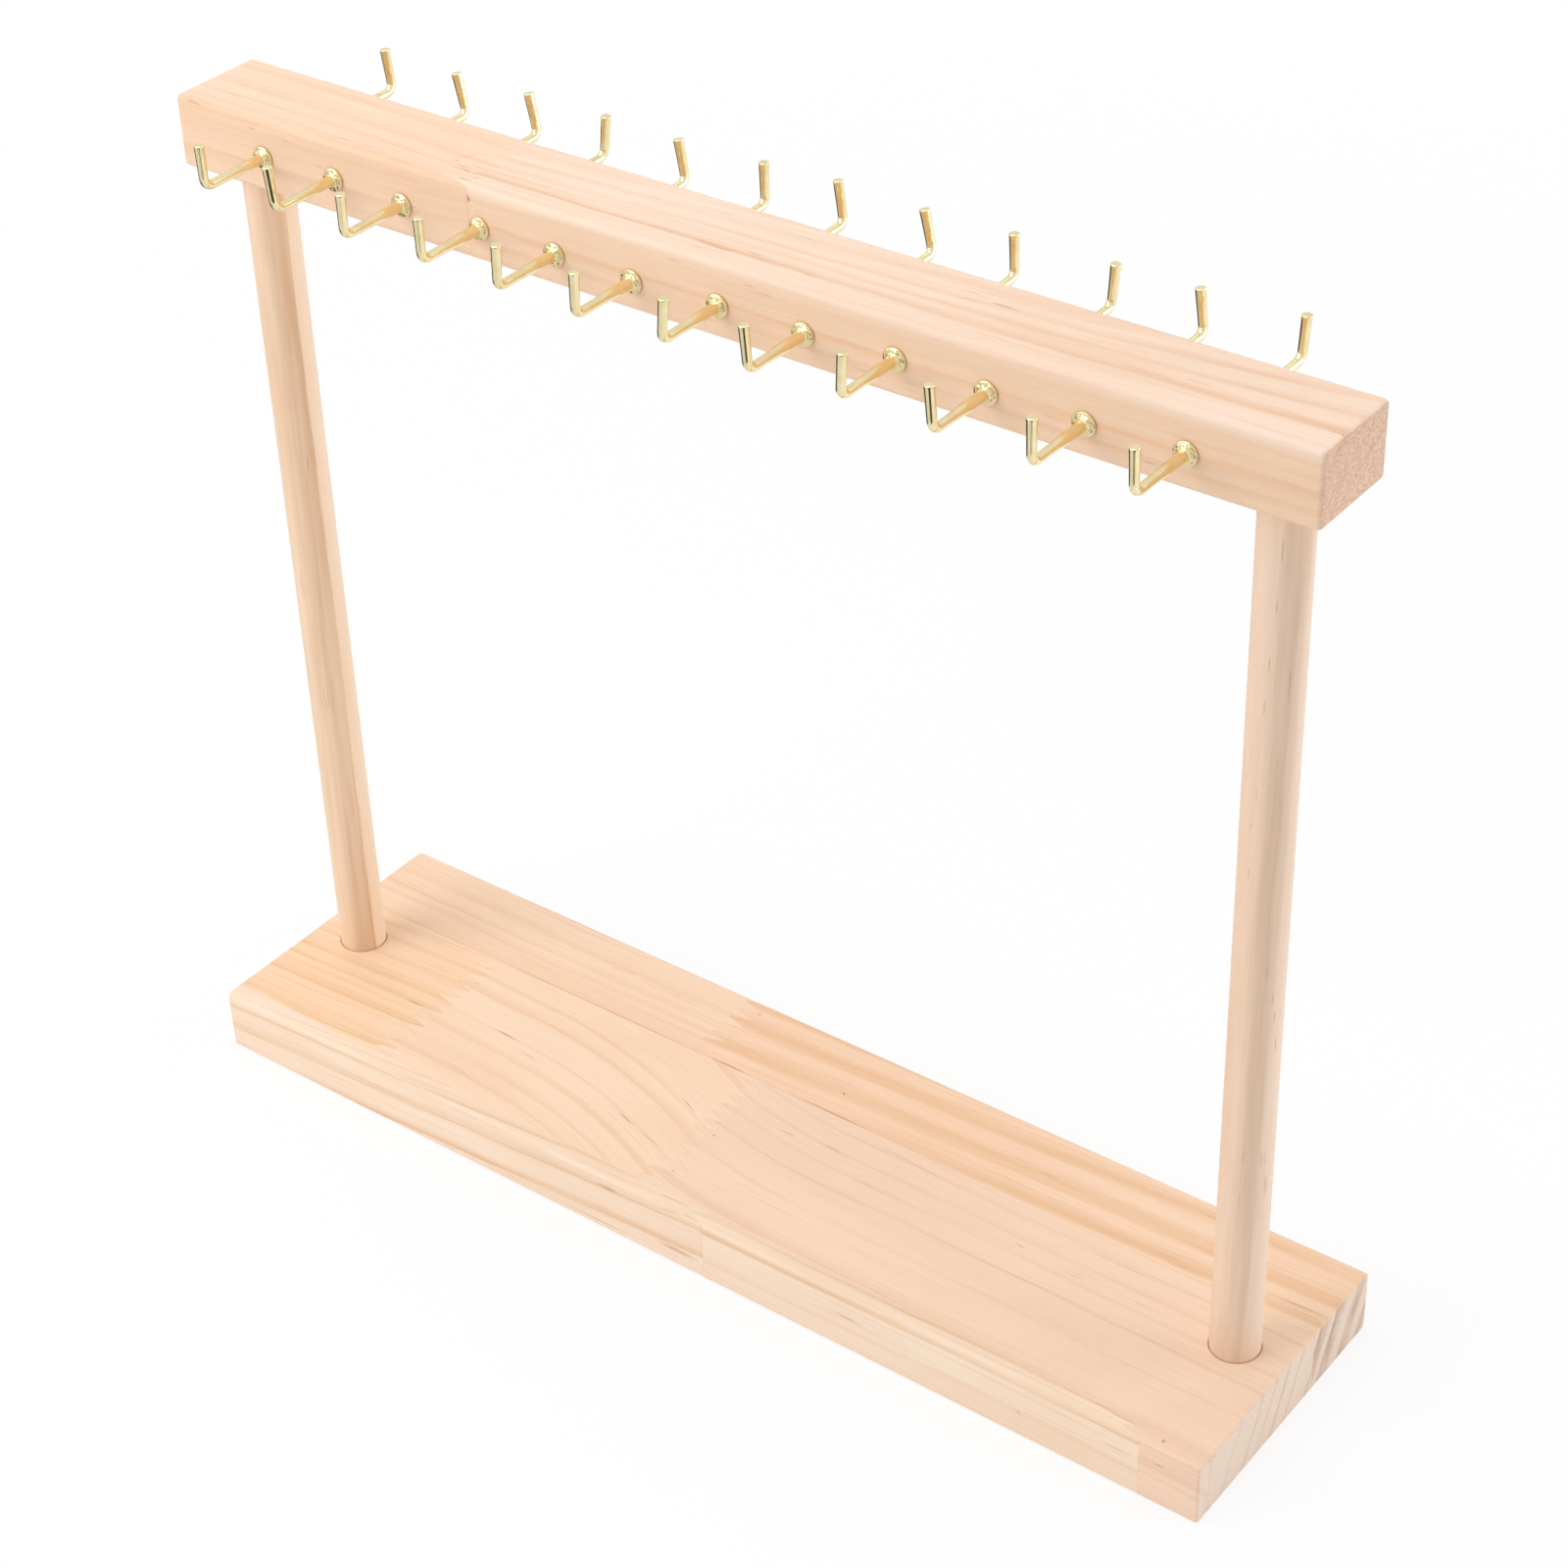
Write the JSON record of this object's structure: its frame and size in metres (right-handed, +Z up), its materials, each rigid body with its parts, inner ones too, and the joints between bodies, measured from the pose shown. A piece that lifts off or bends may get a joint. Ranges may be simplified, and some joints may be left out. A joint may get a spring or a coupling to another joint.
{
  "type": "necklace display rack",
  "caption": "Free-standing pine necklace rack: finger-jointed base, dowel posts and a crossbar with rows of square-bent brass screw hooks front and rear, each able to turn in its hole.",
  "frame": {"origin": "middle of the base's underside", "axes": "+X along the rack, +Y to its rear, +Z up"},
  "size_m": [0.35, 0.0904, 0.3097],
  "materials": {
    "pine_panel": "sanded, unfinished",
    "pine_bar": "sanded, unfinished",
    "pine_dowel": "sanded, unfinished",
    "brass_plate": "bright plated"
  },
  "bodies": {
    "rack": {"base_front_left": "pine_panel", "base_front_centre": "pine_panel", "base_front_right": "pine_panel", "base_middle_left": "pine_panel", "base_middle_centre": "pine_panel", "base_middle_right": "pine_panel", "base_rear_left": "pine_panel", "base_rear_right": "pine_panel", "bar_left": "pine_bar", "bar_right": "pine_bar", "post_left": "pine_dowel", "post_right": "pine_dowel"},
    "hook_front_01": {"hook_front_01": "brass_plate"},
    "hook_front_02": {"hook_front_02": "brass_plate"},
    "hook_front_03": {"hook_front_03": "brass_plate"},
    "hook_front_04": {"hook_front_04": "brass_plate"},
    "hook_front_05": {"hook_front_05": "brass_plate"},
    "hook_front_06": {"hook_front_06": "brass_plate"},
    "hook_front_07": {"hook_front_07": "brass_plate"},
    "hook_front_08": {"hook_front_08": "brass_plate"},
    "hook_front_09": {"hook_front_09": "brass_plate"},
    "hook_front_10": {"hook_front_10": "brass_plate"},
    "hook_front_11": {"hook_front_11": "brass_plate"},
    "hook_front_12": {"hook_front_12": "brass_plate"},
    "hook_rear_01": {"hook_rear_01": "brass_plate"},
    "hook_rear_02": {"hook_rear_02": "brass_plate"},
    "hook_rear_03": {"hook_rear_03": "brass_plate"},
    "hook_rear_04": {"hook_rear_04": "brass_plate"},
    "hook_rear_05": {"hook_rear_05": "brass_plate"},
    "hook_rear_06": {"hook_rear_06": "brass_plate"},
    "hook_rear_07": {"hook_rear_07": "brass_plate"},
    "hook_rear_08": {"hook_rear_08": "brass_plate"},
    "hook_rear_09": {"hook_rear_09": "brass_plate"},
    "hook_rear_10": {"hook_rear_10": "brass_plate"},
    "hook_rear_11": {"hook_rear_11": "brass_plate"},
    "hook_rear_12": {"hook_rear_12": "brass_plate"}
  },
  "joints": [
    {"name": "hook_front_01_turn", "type": "hinge", "parent": "rack", "child": "hook_front_01", "pos_m": [-0.144, -0.01485, 0.2975], "axis": [0, -1, 0], "range_deg": [-15, 90]},
    {"name": "hook_front_02_turn", "type": "hinge", "parent": "rack", "child": "hook_front_02", "pos_m": [-0.11864, -0.01485, 0.2977], "axis": [0, -1, 0], "range_deg": [-15, 90]},
    {"name": "hook_front_03_turn", "type": "hinge", "parent": "rack", "child": "hook_front_03", "pos_m": [-0.09477, -0.01485, 0.2966], "axis": [0, -1, 0], "range_deg": [-15, 90]},
    {"name": "hook_front_04_turn", "type": "hinge", "parent": "rack", "child": "hook_front_04", "pos_m": [-0.06841, -0.01485, 0.2969], "axis": [0, -1, 0], "range_deg": [-15, 90]},
    {"name": "hook_front_05_turn", "type": "hinge", "parent": "rack", "child": "hook_front_05", "pos_m": [-0.04355, -0.01485, 0.2963], "axis": [0, -1, 0], "range_deg": [-15, 90]},
    {"name": "hook_front_06_turn", "type": "hinge", "parent": "rack", "child": "hook_front_06", "pos_m": [-0.01868, -0.01485, 0.2957], "axis": [0, -1, 0], "range_deg": [-15, 90]},
    {"name": "hook_front_07_turn", "type": "hinge", "parent": "rack", "child": "hook_front_07", "pos_m": [0.00818, -0.01485, 0.2965], "axis": [0, -1, 0], "range_deg": [-15, 90]},
    {"name": "hook_front_08_turn", "type": "hinge", "parent": "rack", "child": "hook_front_08", "pos_m": [0.03404, -0.01485, 0.2962], "axis": [0, -1, 0], "range_deg": [-15, 90]},
    {"name": "hook_front_09_turn", "type": "hinge", "parent": "rack", "child": "hook_front_09", "pos_m": [0.06091, -0.01485, 0.2973], "axis": [0, -1, 0], "range_deg": [-15, 90]},
    {"name": "hook_front_10_turn", "type": "hinge", "parent": "rack", "child": "hook_front_10", "pos_m": [0.08677, -0.01485, 0.2962], "axis": [0, -1, 0], "range_deg": [-15, 90]},
    {"name": "hook_front_11_turn", "type": "hinge", "parent": "rack", "child": "hook_front_11", "pos_m": [0.11364, -0.01485, 0.2962], "axis": [0, -1, 0], "range_deg": [-15, 90]},
    {"name": "hook_front_12_turn", "type": "hinge", "parent": "rack", "child": "hook_front_12", "pos_m": [0.1405, -0.01485, 0.297], "axis": [0, -1, 0], "range_deg": [-15, 90]},
    {"name": "hook_rear_01_turn", "type": "hinge", "parent": "rack", "child": "hook_rear_01", "pos_m": [-0.1445, 0.01485, 0.2974], "axis": [0, 1, 0], "range_deg": [-15, 90]},
    {"name": "hook_rear_02_turn", "type": "hinge", "parent": "rack", "child": "hook_rear_02", "pos_m": [-0.11764, 0.01485, 0.2967], "axis": [0, 1, 0], "range_deg": [-15, 90]},
    {"name": "hook_rear_03_turn", "type": "hinge", "parent": "rack", "child": "hook_rear_03", "pos_m": [-0.09227, 0.01485, 0.2969], "axis": [0, 1, 0], "range_deg": [-15, 90]},
    {"name": "hook_rear_04_turn", "type": "hinge", "parent": "rack", "child": "hook_rear_04", "pos_m": [-0.06941, 0.01485, 0.2966], "axis": [0, 1, 0], "range_deg": [-15, 90]},
    {"name": "hook_rear_05_turn", "type": "hinge", "parent": "rack", "child": "hook_rear_05", "pos_m": [-0.04204, 0.01485, 0.2961], "axis": [0, 1, 0], "range_deg": [-15, 90]},
    {"name": "hook_rear_06_turn", "type": "hinge", "parent": "rack", "child": "hook_rear_06", "pos_m": [-0.01618, 0.01485, 0.2964], "axis": [0, 1, 0], "range_deg": [-15, 90]},
    {"name": "hook_rear_07_turn", "type": "hinge", "parent": "rack", "child": "hook_rear_07", "pos_m": [0.00868, 0.01485, 0.2975], "axis": [0, 1, 0], "range_deg": [-15, 90]},
    {"name": "hook_rear_08_turn", "type": "hinge", "parent": "rack", "child": "hook_rear_08", "pos_m": [0.03605, 0.01485, 0.2966], "axis": [0, 1, 0], "range_deg": [-15, 90]},
    {"name": "hook_rear_09_turn", "type": "hinge", "parent": "rack", "child": "hook_rear_09", "pos_m": [0.06041, 0.01485, 0.2968], "axis": [0, 1, 0], "range_deg": [-15, 90]},
    {"name": "hook_rear_10_turn", "type": "hinge", "parent": "rack", "child": "hook_rear_10", "pos_m": [0.08827, 0.01485, 0.2966], "axis": [0, 1, 0], "range_deg": [-15, 90]},
    {"name": "hook_rear_11_turn", "type": "hinge", "parent": "rack", "child": "hook_rear_11", "pos_m": [0.11414, 0.01485, 0.2968], "axis": [0, 1, 0], "range_deg": [-15, 90]},
    {"name": "hook_rear_12_turn", "type": "hinge", "parent": "rack", "child": "hook_rear_12", "pos_m": [0.1405, 0.01485, 0.2977], "axis": [0, 1, 0], "range_deg": [-15, 90]}
  ]
}
